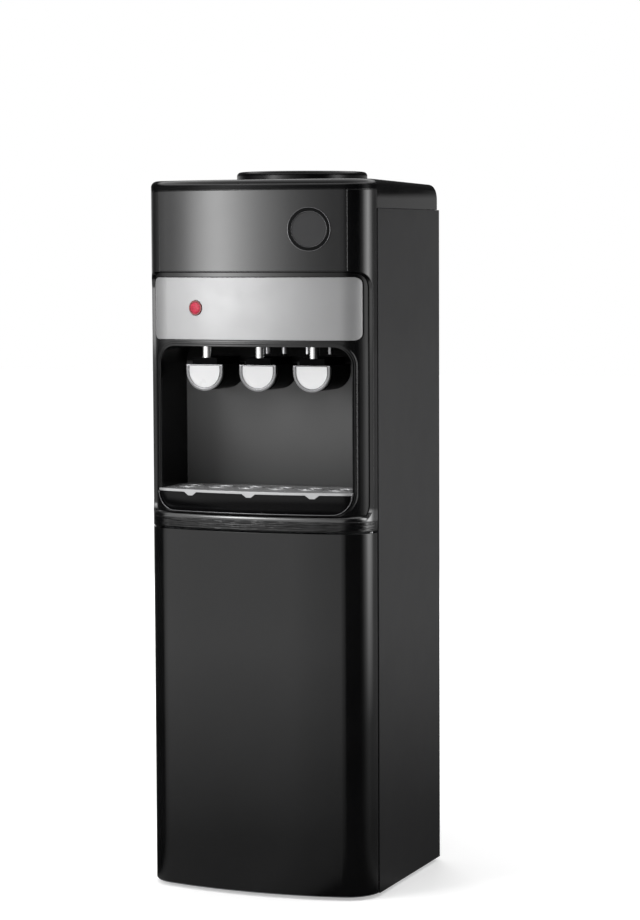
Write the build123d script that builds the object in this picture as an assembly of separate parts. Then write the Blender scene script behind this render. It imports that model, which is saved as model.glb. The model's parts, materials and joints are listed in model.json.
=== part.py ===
"""Free-standing top-loading water dispenser with three taps and a storage cabinet.

Each physical piece is one named STEP file. Lengths are millimetres. While the pieces are drawn,
X is to the user's right, Y runs back from the front of the bow and Z is up from the floor; on
export everything moves forward by half the overall depth, so the origin is the centre of the
footprint on the floor.
"""
import os
from math import asin, cos, pi, sin, sqrt

from build123d import *

# Cabinet envelope
body_width = 344.0            # over the two steel side panels
body_depth = 319.0            # front of the bow to the rear edge of the side panels
half = body_width / 2
sheet = 0.8                   # steel sheet of the side and rear panels
deck_sheet = 1.2              # steel sheet of the base and the middle deck
panel_inner = half - sheet
panel_flange = 11.0           # width of the side panels' turned-in edges
foot_height = 5.0
foot_radius = 15.0
foot_inset = 34.0             # foot centres in from the side panels' outer faces
foot_setback = 25.0           # front foot centres behind the seam
foot_rear_inset = 27.0        # rear foot centres in front of the rear edge
base_level = foot_height + deck_sheet
base_wall = 16.0              # turned-up edge of the base
base_inset = 1.5              # base edge in from the bow
gap = 0.3                     # assembly clearance between fixed pieces
play = 0.05                   # running clearance on the radius of a pin

# Bowed plastic front, drawn as a bow arc, two corner arcs and straight sides
bow_radius = 560.0
corner_radius = 50.0
front_setback = 0.8           # the plastic front stands in from the side panels
corner_x = half - front_setback - corner_radius
corner_y = bow_radius - sqrt((bow_radius - corner_radius) ** 2 - corner_x ** 2)
seam_y = 61.0                 # where the front mouldings meet the side panels
skin = 3.0                    # wall of the front fascia
wall = 2.5                    # wall of the other large mouldings

# Levels of the front, above the floor
door_bottom = 6.8
door_top = 517.5
door_seam = 2.5               # gap between the door and the fascia
waist_bottom = 533.0
cover_top = 1010.6
upper_height = 128.6          # waist's top to the cover's top
waist_top = cover_top - upper_height
cover_front_height = 14.6
cover_front_bottom = cover_top - cover_front_height
cover_side_height = 40.6
cover_side_bottom = cover_top - cover_side_height
cover_fall = 4.1              # the rear edge of the top lies this much lower
cover_rear_top = cover_top - cover_fall
cover_flat = 60.0             # the top is level this far back, then falls to the rear
cover_rear_radius = 22.0
cover_edge_radius = 9.0
fascia_bottom = door_top + door_seam
fascia_top = cover_front_bottom - gap

# Waist: the front is cut back here and filled by the niche moulding
waist_back = 49.5
waist_radius = 26.0
waist_setback = 5.0
waist_ledge = 2.5             # thickness of the returned edge round the waist
return_depth = 12.0           # how far returned edges reach inwards
roll_rise = 10.0              # rolled edge below the tray, above the waist's floor
roll_radius = 9.0
rib_count = 3
rib_pitch = 3.0
rib_height = 1.1
rib_depth = 0.5
rib_end = 42.0                # rib ends in from the side panels' outer faces

# Glossy upper panel, round medallion, silver band and indicator
panel_end = 30.0              # panel ends in from the side panels' outer faces
panel_half_width = half - panel_end
panel_thickness = 1.8
panel_bottom_rise = 1.6       # panel edge above the waist
medallion_end = 81.4          # medallion's centre in from the side panels' outer faces
medallion_x = half - medallion_end
medallion_drop = 69.6         # medallion's centre below the cover's top
medallion_z = cover_top - medallion_drop
medallion_radius = 30.5
medallion_ring = 5.6
medallion_proud = 1.1
band_end = 14.3               # band ends in from the side panels' outer faces
band_half_width = half - band_end
band_drop = 7.5               # band's top edge below the waist's
band_height = 87.5
band_top = waist_top - band_drop
band_bottom = band_top - band_height
band_thickness = 1.6
band_proud = 0.6
band_end_radius = 9.5
indicator_end = 88.4          # indicator's centre in from the side panels' outer faces
indicator_x = indicator_end - half
indicator_rise = 44.6
indicator_z = band_bottom + indicator_rise
indicator_radius = 10.5
indicator_rim = 2.3

# Dispensing niche
niche_side = 26.0             # niche walls in from the side panels' outer faces
niche_half_width = half - niche_side
niche_floor = waist_bottom + roll_rise + gap + wall
niche_drop = 9.5              # niche's ceiling below the band
niche_ceiling = band_bottom - niche_drop
niche_back = 118.0
niche_top_radius = 25.0
niche_foot_radius = 27.0
niche_face = 3.5              # thickness of the moulding's face
bead_offset = 3.4             # raised bead round the niche's opening
bead_width = 2.6
bead_proud = 0.9

# Taps
tap_end = 64.0                # outer taps' centres in from the niche's walls
tap_pitch = niche_half_width - tap_end
tap_names = ("hot", "normal", "cold")
paddle_half_width = 28.0
paddle_height = 37.6
paddle_drop = 26.5            # paddles' tops below the niche's ceiling
paddle_top = niche_ceiling - paddle_drop
paddle_bottom = paddle_top - paddle_height
paddle_front = 36.0
paddle_thickness = 5.0
paddle_back = paddle_front + paddle_thickness
paddle_rim = 4.2
paddle_top_rim = 1.6
face_thickness = 1.6
face_sunk = 0.5
tap_pin_radius = 2.0
tap_pin_y = paddle_back + 5.5
tap_pin_z = paddle_top - 7.0
knuckle_half = 8.0
knuckle_radius = 4.2
spring_width = 3.4
spring_wall = 0.9
cheek_width = 4.0
cheek_reach = 3.0             # cheeks in front of the pin's centre
shroud_inset = 0.8            # the shroud is a little smaller than its paddle
shroud_front = tap_pin_y + 5.0
head_half_width = 19.0
head_seat = 0.6               # heads start this far above the paddles
head_top = paddle_top + 9.5
stem_radius = 7.6
stem_y = tap_pin_y + 0.5
stem_top = niche_ceiling + 12.5
nozzle_radius = 6.0
nozzle_wall = 1.6
nozzle_depth = 20.5
nozzle_y = shroud_front + 24.5
boss_y = 70.0
boss_drop = 11.5              # the ceiling's screw bosses reach this far down
boss_radius = 3.6
boss_x = (2.0, 27.0, tap_pitch - 19.0, tap_pitch + 15.0)

# Drip tray and its grille
tray_end = 24.0               # tray ends in from the side panels' outer faces
tray_half_width = half - tray_end
tray_bottom = niche_floor - wall + 0.1
tray_top = 573.2
tray_inset = 1.3
tray_corner = 28.0
tray_wall = 2.0
tray_back = niche_back - 4.0
tray_side_gap = 1.4           # tray basin to niche wall
grille_sheet = 1.5
grille_lip = 3.6
grille_inset = 0.2
grille_end_gap = 0.6
tab_x = 93.0
tab_drop = 7.0
tab_half_width = 13.0
tab_tip = 3.5
dish_count = 6
dish_pitch = 46.0
dish_radius = 18.5
dish_rim = 2.4
dish_rise = 0.9
dish_y = 64.0
drip_hole = 4.6               # across the corners, halved
drip_circle = 10.5

# Door and its hinge
hinge_inset = 7.0             # hinge axis in from the side panels' outer faces
hinge_x = half - hinge_inset
hinge_y = seam_y - 10.5
hinge_pin_radius = 2.0
hinge_boss_radius = 6.0
hinge_pin_length = 11.0
hinge_plate = 1.6
hinge_plate_width = 24.0
door_clearance = 1.8          # door's rear edge to the seam
door_back = seam_y - door_clearance
door_liner_y = door_back - 7.2
recess_side = 54.0            # liner's recess in from the side panels' outer faces
recess_depth = 20.0
recess_radius = 18.0
gasket_width = 8.0
gasket_end = 22.0             # gasket in from the side panels' outer faces
gasket_half_width = half - gasket_end
gasket_bottom = 20.0
gasket_top = door_top - 14.5
gasket_gap = 0.5
recess_bottom = 70.0
recess_top = door_top - 57.5
catch_z = 266.0
catch_height = 40.0
catch_width = 9.0
catch_thickness = 3.0
magnet_inset = 1.0

# Storage compartment behind the door
compressor_setback = 79.0     # compressor's axis in front of the rear edge
compressor_y = body_depth - compressor_setback
store_side = 24.0             # storage space in from the side panels' outer faces
store_half_width = half - store_side
store_wall = 2.0
store_flange = 9.0
store_front = seam_y + 0.9
store_back = body_depth - 31.0
store_step_gap = 77.0         # lower part ends this far in front of the compressor's axis
store_step_back = compressor_y - store_step_gap
store_step_height = 216.0
store_top = door_top - 9.5
shelf_level = 330.0
shelf_wire = 4.0
shelf_bars = 12
shelf_ledge = 5.0
shelf_front = 20.0            # ledge ends behind the storage space's front
shelf_back = 25.0             # ledge ends in front of the storage space's back

# Bottle seat in the top
seat_y = 207.0
seat_radius = 95.0
seat_hole_radius = 88.5
seat_rise = 14.4              # seat's rim above the top cover
seat_top = cover_top + seat_rise
seat_plinth = 0.4             # ring of the cover under the seat's rim
seat_rim_radius = 6.0
neck_radius = 29.5
neck_length = 34.0
neck_drop = 25.6              # bore's mouth below the top cover
neck_top = cover_top - neck_drop
neck_bottom = neck_top - neck_length

# Water side
tank_sheet = 1.0
cold_radius = 70.0
cold_top = neck_bottom - 1.0 + play
cold_height = 132.0
cold_bottom = cold_top - cold_height
collar_height = 12.0
collar_gap = 1.5              # tank collar round the seat's throat
baffle_level = cold_bottom + 82.0
baffle_hole = 9.0
baffle_ring = 48.0
jacket_wall = 4.0
foam_above = 12.0
foam_below = 2.0
block_front = niche_back + wall + 3.5
block_back = body_depth - 27.0
block_bottom = cold_bottom - foam_below
block_top = cold_top + foam_above
deck_level = store_top + 4.6
deck_flange = 14.0
hot_end = 106.0               # hot tank's axis in from the left side panel's outer face
hot_x = hot_end - half
hot_y = body_depth - 97.0
hot_radius = 55.0
hot_rise = 50.0               # hot tank above the middle deck
hot_bottom = deck_level + hot_rise
hot_gap = 94.0                # hot tank's top below the insulation
hot_top = block_bottom - hot_gap
hot_height = hot_top - hot_bottom
hot_jacket = 10.0
hot_edge_radius = 12.0
stand_wall = 2.0
stand_inset = 14.0
thermostat_radius = 9.0
thermostat_shares = (0.31, 0.69)   # of the hot tank's height
thermostat_cap = 6.0
tube_radius = 5.0
tube_notch = 1.5              # room round a tube where it passes a wall
cold_outlet_x = 40.0
cold_outlet_z = cold_bottom + 16.0
ambient_outlet_z = cold_top - 12.0
hot_run_z = stem_top + 14.0
feed_x = 20.0
feed_z = hot_bottom - 22.0
tube_shift = 50.0             # cold tube's bend behind its tap
drain_end = 100.0             # drain in from the right side panel's outer face
drain_x = half - drain_end
drain_y = body_depth - 16.0
drain_z = 262.0
drain_elbow = drain_z + 22.0
drain_run_z = hot_bottom - 17.0
drain_radius = 7.0
drain_reach = 12.0            # drain outlet behind the rear edge
drain_flange = 4.0
cap_wall = 3.0
cap_end = 3.0

# Cooling side
compressor_x = -38.0
compressor_radius = 58.0
compressor_bottom = base_level + 17.8
compressor_height = 150.0
dome_radius = 36.0
weld_height = 6.0
weld_proud = 2.5
mount_height = 12.0
mount_radius = 10.0
foot_plate = 2.5
foot_plate_x = 70.0
foot_plate_y = 52.0
foot_plate_corner = 14.0
mount_inset = 12.0
relay_level = 84.0
relay_height = 40.0
relay_half_width = 22.0
relay_reach = 20.0
condenser_tube = 2.5          # radius
condenser_side = 44.0         # condenser bends in from the side panels' outer faces
condenser_half_width = half - condenser_side
condenser_bottom = 312.0
condenser_passes = 10
condenser_drop = 80.0         # last pass below the rear panel's top
condenser_standoff = 11.0
condenser_y = body_depth + condenser_standoff + condenser_tube
wire_radius = 0.8
wire_count = 15
wire_end = 4.3                # outer wires in from the bends
wire_reach = 18.0             # wires past the first and last pass
clip_half = 4.5
clip_height = 12.0
clip_place = 6.5              # clips this many wires off the middle
drier_radius = 9.0
drier_length = 70.0
drier_end = 72.0              # drier in from the right side panel's outer face
drier_x = half - drier_end
drier_bottom = 62.0
drier_loop = 20.0
pipe_y = body_depth - 15.0    # pipes run between the storage space and the rear panel
discharge_level = 106.0
discharge_offset = 22.0
capillary_radius = 1.5
capillary_shift = 30.0
capillary_x = drier_x + capillary_shift
capillary_end = -40.0         # where the capillary enters the insulation
pipe_loop = 30.0              # discharge pipe past the condenser's first pass
pipe_side = 12.0              # return leg past the condenser's bends
pipe_drop = 26.0              # discharge run below the rear panel
pipe_lower = 44.0             # liquid run below the discharge run
pipe_rise = 15.0              # suction run above the compressor
capillary_z = cold_bottom + 62.0
suction_radius = 3.2
suction_x = drain_x + 14.0
suction_top = cold_bottom + 42.0
suction_offset = 28.0

# Rear panel and what is fitted in it
rear_y = body_depth - 2 * sheet
rear_bottom = 222.0
rear_top = cover_side_bottom - 2.0
rear_flange = 9.0
screw_inset = 6.0             # rear screws in from the side panels' outer faces
screw_x = half - screw_inset
screw_end = 28.0              # outer screws in from the rear panel's ends
screw_levels = (rear_bottom + screw_end, (rear_bottom + rear_top) / 2, rear_top - screw_end)
condenser_pitch = (rear_top - condenser_drop - condenser_bottom) / (condenser_passes - 1)
run_end = condenser_half_width - condenser_pitch / 2
wire_pitch = 2 * (run_end - wire_end) / (wire_count - 1)
screw_shank = 1.6             # radius
screw_hole = 1.75             # radius
screw_head = 3.4              # radius
screw_head_height = 1.5
rear_screws = [(side * screw_x, z) for side in (-1, 1) for z in screw_levels]
switch_z = rear_top - 26.0
switch_x = (60.0 - half, 94.0 - half)
switch_width = 13.0
switch_height = 21.0
switch_wall = 1.6
switch_flange = 2.0
switch_depth = 14.0
switch_proud = 1.6
rocker_tilt = 8.0             # degrees each way
rocker_y = body_depth - 2.9
rocker_gap = 0.5
rocker_back = 1.5
rocker_edge = 4.1             # rocker's two ends behind its pivot
rocker_waist = 2.6            # rocker's middle behind its pivot
trunnion_radius = 1.2
gland_end = 60.0
gland_x = half - gland_end
gland_z = 258.0
gland_radius = 7.8
gland_flange = 11.5
gland_bore = 3.6
gland_depth = 8.0
gland_proud = 10.0
gland_rim = 3.0

# Everything moves forward by half of this on export
overall_depth = condenser_y + condenser_tube + 2 * wire_radius


def block(x0, x1, y0, y1, z0, z1):
    return Pos((x0 + x1) / 2, (y0 + y1) / 2, (z0 + z1) / 2) * Box(x1 - x0, y1 - y0, z1 - z0)


def rod(x, y, z0, z1, radius):
    return Pos(x, y, (z0 + z1) / 2) * Cylinder(radius, z1 - z0)


def outline(inset, back):
    """Plan of everything behind the bowed front, moved in by inset and closed at back."""
    radius = corner_radius - inset
    reach = (bow_radius - inset) / (bow_radius - corner_radius)
    join = (corner_x * reach, bow_radius - (bow_radius - corner_y) * reach)
    start = asin(corner_x / (bow_radius - corner_radius))
    middle = (pi / 2 + start) / 2
    knee = (corner_x + radius * sin(middle), corner_y - radius * cos(middle))
    side = corner_x + radius
    edges = [
        ThreePointArc((-join[0], join[1]), (0, inset), join),
        ThreePointArc(join, knee, (side, corner_y)),
        Line((side, corner_y), (side, back)),
        Line((side, back), (-side, back)),
        Line((-side, back), (-side, corner_y)),
        ThreePointArc((-side, corner_y), (-knee[0], knee[1]), (-join[0], join[1])),
    ]
    return make_face(edges)


def prism(inset, back, z0, z1):
    """Everything between two levels behind the bow, cut off square at back."""
    solid = extrude(Pos(0, 0, z0) * outline(inset, body_depth), z1 - z0, (0, 0, 1))
    return solid & block(-half, half, -1, back, z0 - 1, z1 + 1)


def shell_of(outer, inner, back, z0, z1):
    return prism(outer, back, z0, z1) - prism(inner, back + 1, z0 - 1, z1 + 1)


def window(half_width, z0, z1, top_radius, foot_radius, y0, y1, x=0):
    """A bar along Y with a rounded rectangular section."""
    bar = block(x - half_width, x + half_width, y0, y1, z0, z1)
    along = bar.edges().filter_by(Axis.Y).group_by(Axis.Z)
    if top_radius:
        bar = fillet(along[-1], top_radius)
    if foot_radius:
        along = bar.edges().filter_by(Axis.Y).group_by(Axis.Z)
        bar = fillet(along[0], foot_radius)
    return bar


def waist(grow):
    """The space cut back across the front; its rear corners are round seen from the side."""
    bar = block(-half, half, -1, waist_back + grow, waist_bottom - grow, waist_top + grow)
    rear = bar.edges().filter_by(Axis.X).group_by(Axis.Y)[-1]
    return fillet(rear, waist_radius + grow)


def side_bar(points):
    """A bar across the full width with the given outline in Y and Z."""
    sides = [Line(a, b) for a, b in zip(points, points[1:] + points[:1])]
    return extrude(Plane.YZ.offset(-half) * make_face(sides), 2 * half, (1, 0, 0))


def save(name, *shapes):
    """Write one node; several shapes stay separate solids."""
    moved = [Pos(0, -overall_depth / 2, 0) * shape for shape in shapes]
    export_step(moved[0] if len(moved) == 1 else Compound(children=moved), f"parts/{name}.step")


def make_base():
    plan = prism(base_inset, rear_y - gap, foot_height, base_level)
    inner = panel_inner - gap
    plan = plan & block(-inner, inner, -1, body_depth, 0, base_level + 1)
    walls = block(-inner, inner, seam_y + 4, rear_y - gap, base_level - gap, base_level + base_wall)
    walls -= block(-inner + deck_sheet, inner - deck_sheet, seam_y, rear_y - gap - deck_sheet,
                   base_level - 1, base_level + 2 * base_wall)
    save("base_plate", plan + walls)
    feet = [rod(side * (half - foot_inset), y, 0, foot_height, foot_radius)
            for side in (-1, 1) for y in (seam_y + foot_setback, body_depth - foot_rear_inset)]
    save("feet", *[chamfer(foot.edges().group_by(Axis.Z)[0], foot_height / 4) for foot in feet])


def make_side_panels():
    top = cover_side_bottom - gap
    front = seam_y + 0.8
    flange_bottom = base_level + base_wall + gap
    panel = block(panel_inner, half, front, body_depth, foot_height, top)
    panel += block(half - panel_flange, half, front, front + sheet, flange_bottom, top)
    panel += block(half - panel_flange, half, body_depth - sheet, body_depth, flange_bottom, top)
    corner = panel.edges().filter_by(Axis.Z).sort_by_distance((half, body_depth, top / 2))[0]
    panel = fillet(corner, 0.9 * sheet)
    for z in screw_levels:
        panel -= back_rod(screw_x, body_depth - 2 * sheet, body_depth + sheet, z, screw_hole)
    save("side_panel_right", panel)
    save("side_panel_left", mirror(panel, Plane.YZ))


def make_rear():
    inner = panel_inner - gap
    panel = block(-inner, inner, rear_y, rear_y + sheet - gap / 2, rear_bottom, rear_top)
    panel += block(-inner, inner, rear_y - rear_flange, rear_y + sheet - gap / 2, rear_bottom,
                   rear_bottom + sheet)
    wide = switch_width / 2 + gap
    tall = switch_height / 2 + gap
    for x in switch_x:
        panel -= block(x - wide, x + wide, rear_y - sheet, body_depth, switch_z - tall,
                       switch_z + tall)
    for x, z, radius in ((drain_x, drain_z, drain_radius), (gland_x, gland_z, gland_radius)):
        panel -= back_rod(x, rear_y - sheet, body_depth, z, radius + gap)
    for x, z in rear_screws:
        panel -= back_rod(x, rear_y - sheet, body_depth, z, screw_hole)
    save("rear_panel", panel)


def make_deck():
    inner = panel_inner - gap
    front = seam_y + 5 * deck_sheet
    back = rear_y - gap
    deck = block(-inner, inner, front, back, deck_level, deck_level + deck_sheet)
    for y in (front, back - deck_sheet):
        deck += block(-inner, inner, y, y + deck_sheet, deck_level, deck_level + deck_flange)
    for x, y, radius in ((drain_x, drain_y, tube_radius), (capillary_x, pipe_y, capillary_radius),
                         (suction_x, pipe_y, suction_radius)):
        deck -= rod(x, y, deck_level - deck_sheet, deck_level + 2 * deck_sheet, radius + 1)
    save("middle_deck", deck)


def cover_form(inset, bottom):
    """The top cover's outer form, or its cavity when moved in by the wall."""
    back = body_depth - inset
    form = prism(inset, back, bottom, cover_top + 5)
    form &= side_bar([(-1, bottom), (-1, cover_top - inset), (cover_flat, cover_top - inset),
                      (body_depth, cover_rear_top - inset), (body_depth, bottom)])
    edge = form.edges().filter_by(Axis.X).sort_by_distance((0, back, cover_rear_top))[0]
    form = fillet(edge, cover_rear_radius - inset)
    rim = [e for e in form.edges().filter_by(lambda e: e.center().Z > cover_front_bottom)
           if abs(e.center().X) > 1 or e.geom_type == GeomType.CIRCLE]
    rim += form.edges().filter_by(GeomType.CIRCLE).filter_by(lambda e: e.center().Y > back - 20)
    return fillet(list(dict.fromkeys(rim)), cover_edge_radius - inset)


def make_cover():
    cover = cover_form(0, cover_side_bottom) - cover_form(wall, cover_side_bottom - 1)
    cover -= block(-half, half, -1, seam_y + 0.5, cover_side_bottom - 1, cover_front_bottom)
    plinth = cover_top + seat_plinth
    cover += rod(0, seat_y, cover_rear_top - 3 * wall, plinth, seat_radius + 4)
    cover -= rod(0, seat_y, cover_side_bottom, plinth + 1, seat_hole_radius)
    save("top_cover", cover)


def make_bottle_seat():
    """A dished ring that takes the bottle's shoulder, with the neck bore below it."""
    low = cover_top + seat_plinth + gap
    outer = seat_radius
    skirt = seat_hole_radius - 0.6
    throat = neck_radius + wall
    round_off = seat_rim_radius * (1 - sqrt(0.5))
    outline_points = [
        (throat, neck_bottom), (throat, neck_top - 2), (skirt - 4, low - 16), (skirt, low - 12),
        (skirt, low), (outer, low), (outer, seat_top - seat_rim_radius),
    ]
    inside_points = [
        (outer - seat_rim_radius, seat_top), (outer - 11, seat_top), (skirt - 9, low - 9),
        (neck_radius, neck_top), (neck_radius, neck_bottom), (throat, neck_bottom),
    ]
    edges = [Line(a, b) for points in (outline_points, inside_points)
             for a, b in zip(points, points[1:])]
    edges.append(ThreePointArc(outline_points[-1],
                               (outer - round_off, seat_top - round_off), inside_points[0]))
    profile = make_face(edges)
    ring = revolve(Plane.XZ * profile, Axis.Z)
    save("bottle_seat", Pos(0, seat_y, 0) * ring)


def roll(grow):
    """The rolled edge that the tray stands over, moved out by grow."""
    rear = waist_back + 2 * wall
    form = prism(-grow, rear, fascia_bottom + wall, waist_bottom + roll_rise + grow)
    edges = [e for e in form.edges().group_by(Axis.Z)[-1] if e.center().Y < rear - 1]
    return fillet(edges, roll_radius + grow)


def make_fascia():
    returned = shell_of(0, return_depth, seam_y, fascia_bottom, fascia_top)
    body = shell_of(0, skin, seam_y, fascia_bottom, fascia_top)
    body += waist(waist_ledge) & returned
    body -= waist(0) - roll(0)
    body -= roll(-wall) & shell_of(skin, return_depth + 1, waist_back - wall, fascia_bottom + wall,
                                   waist_bottom + roll_rise)
    body += returned & block(-half, half, seam_y - wall, seam_y, fascia_bottom, fascia_top)
    body += prism(0, seam_y, fascia_bottom, fascia_bottom + wall)
    seat = window(panel_half_width + gap, waist_top + panel_bottom_rise - gap, fascia_top + 5, 0, 0,
                  -1, waist_back)
    body -= seat & shell_of(-1, panel_thickness + gap, waist_back, waist_top, fascia_top + 5)
    ends = block(rib_end - half, half - rib_end, -1, seam_y, fascia_bottom, waist_bottom)
    for index in range(rib_count):
        z = fascia_bottom + (index + 1) * rib_pitch
        body -= shell_of(-1, rib_depth, seam_y, z, z + rib_height) & ends
    body -= rod(hinge_x, hinge_y, fascia_bottom - 1, fascia_bottom + wall + 1,
                hinge_pin_radius + play)
    save("front_fascia", body)


def medallion_frame():
    """A plane on the bow at the medallion, facing out along the bow's own normal."""
    lean = asin(medallion_x / bow_radius)
    place = (medallion_x, bow_radius * (1 - cos(lean)), medallion_z)
    return Plane(place, x_dir=(cos(lean), sin(lean), 0), z_dir=(sin(lean), -cos(lean), 0))


def disc(frame, radius, low, high):
    """A disc across a plane, between two heights along its normal."""
    return frame * Pos(0, 0, (low + high) / 2) * Cylinder(radius, high - low)


def make_upper_panel():
    bottom = waist_top + panel_bottom_rise
    panel = shell_of(0.1, panel_thickness, waist_back, bottom, fascia_top - gap)
    panel &= window(panel_half_width, bottom, fascia_top - gap, 0, 0, -1, waist_back)
    frame = medallion_frame()
    deep = 3 * panel_thickness
    low = gap - panel_thickness
    panel -= disc(frame, medallion_radius + gap, -deep, deep)
    ring = disc(frame, medallion_radius, low, medallion_proud)
    hole = medallion_radius - medallion_ring
    ring -= disc(frame, hole, -deep, deep)
    edges = ring.edges().filter_by(GeomType.CIRCLE).sort_by(Axis.Y)[:2]
    ring = fillet(edges, medallion_proud * 0.8)
    save("upper_panel", panel)
    save("medallion_ring", ring)
    save("medallion_disc", disc(frame, hole - 0.2, low, -0.2))


def niche_section(grow, y0, y1):
    return window(niche_half_width + grow, niche_floor - grow, niche_ceiling + grow,
                  niche_top_radius + grow, niche_foot_radius + grow, y0, y1)


def make_niche():
    low, high = waist_bottom, waist_top
    face = shell_of(waist_setback, waist_setback + niche_face, waist_back - gap, low, high)
    face &= waist(-gap)
    tunnel = niche_section(wall, -1, niche_back + wall) & prism(waist_setback, body_depth, low, high)
    bead = niche_section(bead_offset + bead_width, -1, waist_back) - niche_section(
        bead_offset, -1, waist_back)
    bead &= shell_of(waist_setback - bead_proud, waist_setback + 1, waist_back, low, high)
    pocket = shell_of(waist_setback - 1, waist_setback - band_proud + band_thickness + gap, seam_y,
                      band_bottom - gap, band_top + gap)
    pocket &= window(band_half_width + gap, band_bottom - gap, band_top + gap, band_end_radius,
                     band_end_radius, -1, seam_y)
    niche = face + tunnel + bead - niche_section(0, -2, niche_back) - pocket - roll(gap)
    for x in (-tap_pitch, 0, tap_pitch):
        niche -= rod(x, stem_y, niche_ceiling - 2, niche_ceiling + 5, stem_radius + gap)
    save("dispensing_niche", niche)


def make_band():
    outer = waist_setback - band_proud
    deep = 4 * band_thickness
    band = shell_of(outer, outer + band_thickness, seam_y, band_bottom, band_top)
    band &= window(band_half_width, band_bottom, band_top, band_end_radius, band_end_radius,
                   -1, seam_y)
    lean = asin(indicator_x / bow_radius)
    place = (indicator_x, bow_radius - (bow_radius - outer) * cos(lean), indicator_z)
    frame = Plane(place, x_dir=(cos(lean), sin(lean), 0), z_dir=(sin(lean), -cos(lean), 0))
    band -= disc(frame, indicator_radius + gap, -deep, deep)
    low = gap - band_thickness
    bezel = disc(frame, indicator_radius, low, 1.2)
    inner = indicator_radius - indicator_rim
    bezel -= disc(frame, inner, -deep, deep)
    lens = disc(frame, inner - 0.1, low, 0.7)
    dome = frame * Pos(0, 0, 0.7) * scale(Sphere(inner - 0.8), (1, 1, 0.14))
    save("silver_band", band)
    rims = bezel.edges().filter_by(GeomType.CIRCLE).sort_by(Axis.Y)[:2]
    save("indicator_bezel", chamfer(rims, 0.5))
    save("indicator_lens", lens + dome)


def half_round(inset, top, y0, y1, x):
    """A bar along Y with a flat top and a half-round foot, like the paddles."""
    radius = paddle_half_width - inset
    centre = paddle_bottom + paddle_half_width
    bar = block(x - radius, x + radius, y0, y1, centre, top)
    foot = Pos(x, (y0 + y1) / 2, centre) * Rot(90, 0, 0) * Cylinder(radius, y1 - y0)
    return bar + foot - block(x - 2 * radius, x + 2 * radius, y0 - 1, y1 + 1, top,
                              top + 2 * paddle_height)


def cross_rod(x0, x1, y, z, radius):
    """A cylinder along X."""
    return Pos((x0 + x1) / 2, y, z) * Rot(0, 90, 0) * Cylinder(radius, x1 - x0)


def back_rod(x, y0, y1, z, radius):
    """A cylinder along Y."""
    return Pos(x, (y0 + y1) / 2, z) * Rot(90, 0, 0) * Cylinder(radius, y1 - y0)


def make_tap(name, x):
    plate = half_round(0, paddle_top, paddle_front, paddle_back, x)
    plate -= half_round(paddle_rim, paddle_top - paddle_top_rim, paddle_front - 1,
                        paddle_front + face_thickness, x)
    knuckle = block(x - knuckle_half, x + knuckle_half, paddle_back - 1, tap_pin_y,
                    tap_pin_z - knuckle_radius, tap_pin_z + knuckle_radius)
    knuckle += cross_rod(x - knuckle_half, x + knuckle_half, tap_pin_y, tap_pin_z, knuckle_radius)
    bore = paddle_half_width
    knuckle -= cross_rod(x - bore, x + bore, tap_pin_y, tap_pin_z, tap_pin_radius + play)
    face = half_round(paddle_rim + play, paddle_top - paddle_top_rim - play,
                      paddle_front + face_sunk, paddle_front + face_thickness, x)
    save(f"tap_paddle_{name}", plate + knuckle)
    save(f"paddle_face_{name}", face)

    shroud = half_round(shroud_inset, paddle_top, shroud_front, niche_back - gap, x)
    shroud += block(x - head_half_width, x + head_half_width, paddle_front + 2, niche_back - gap,
                    paddle_top + head_seat, head_top)
    inner = knuckle_half + spring_width + gap
    outer = inner + cheek_width
    for side in (-1, 1):
        cheek = sorted((x + side * inner, x + side * outer))
        shroud += block(*cheek, tap_pin_y - cheek_reach, shroud_front + 1,
                        tap_pin_z - knuckle_radius, paddle_top + 1)
    pin = cross_rod(x - outer, x + outer, tap_pin_y, tap_pin_z, tap_pin_radius)
    shroud -= pin
    low = paddle_bottom + nozzle_wall
    shroud -= rod(x, nozzle_y, paddle_bottom - 10, low + nozzle_depth, nozzle_radius + gap)
    nozzle = rod(x, nozzle_y, low, low + nozzle_depth, nozzle_radius)
    nozzle -= rod(x, nozzle_y, low - 1, low + 0.7 * nozzle_depth, nozzle_radius - nozzle_wall)
    end = x - knuckle_half - gap
    spring = cross_rod(end - spring_width + gap, end, tap_pin_y, tap_pin_z,
                       tap_pin_radius + spring_wall + play)
    spring -= cross_rod(end - 2 * spring_width, end + 1, tap_pin_y, tap_pin_z,
                        tap_pin_radius + play)
    stem = rod(x, stem_y, head_top, stem_top, stem_radius)
    return shroud, stem, pin, nozzle, spring


def make_taps():
    places = zip(tap_names, (-tap_pitch, 0, tap_pitch))
    fixed = zip(*[make_tap(name, x) for name, x in places])
    for name, shapes in zip(("shrouds", "stems", "pins", "nozzles", "springs"), fixed):
        save(f"tap_{name}", *shapes)


def make_screws():
    screws = [rod(x, boss_y, niche_ceiling - boss_drop, niche_ceiling, boss_radius)
              for x in boss_x]
    for x, z in rear_screws:
        screw = back_rod(x, body_depth, body_depth + screw_head_height, z, screw_head)
        screws.append(screw + back_rod(x, rear_y - sheet, body_depth, z, screw_shank))
    save("screws", *screws)


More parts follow.
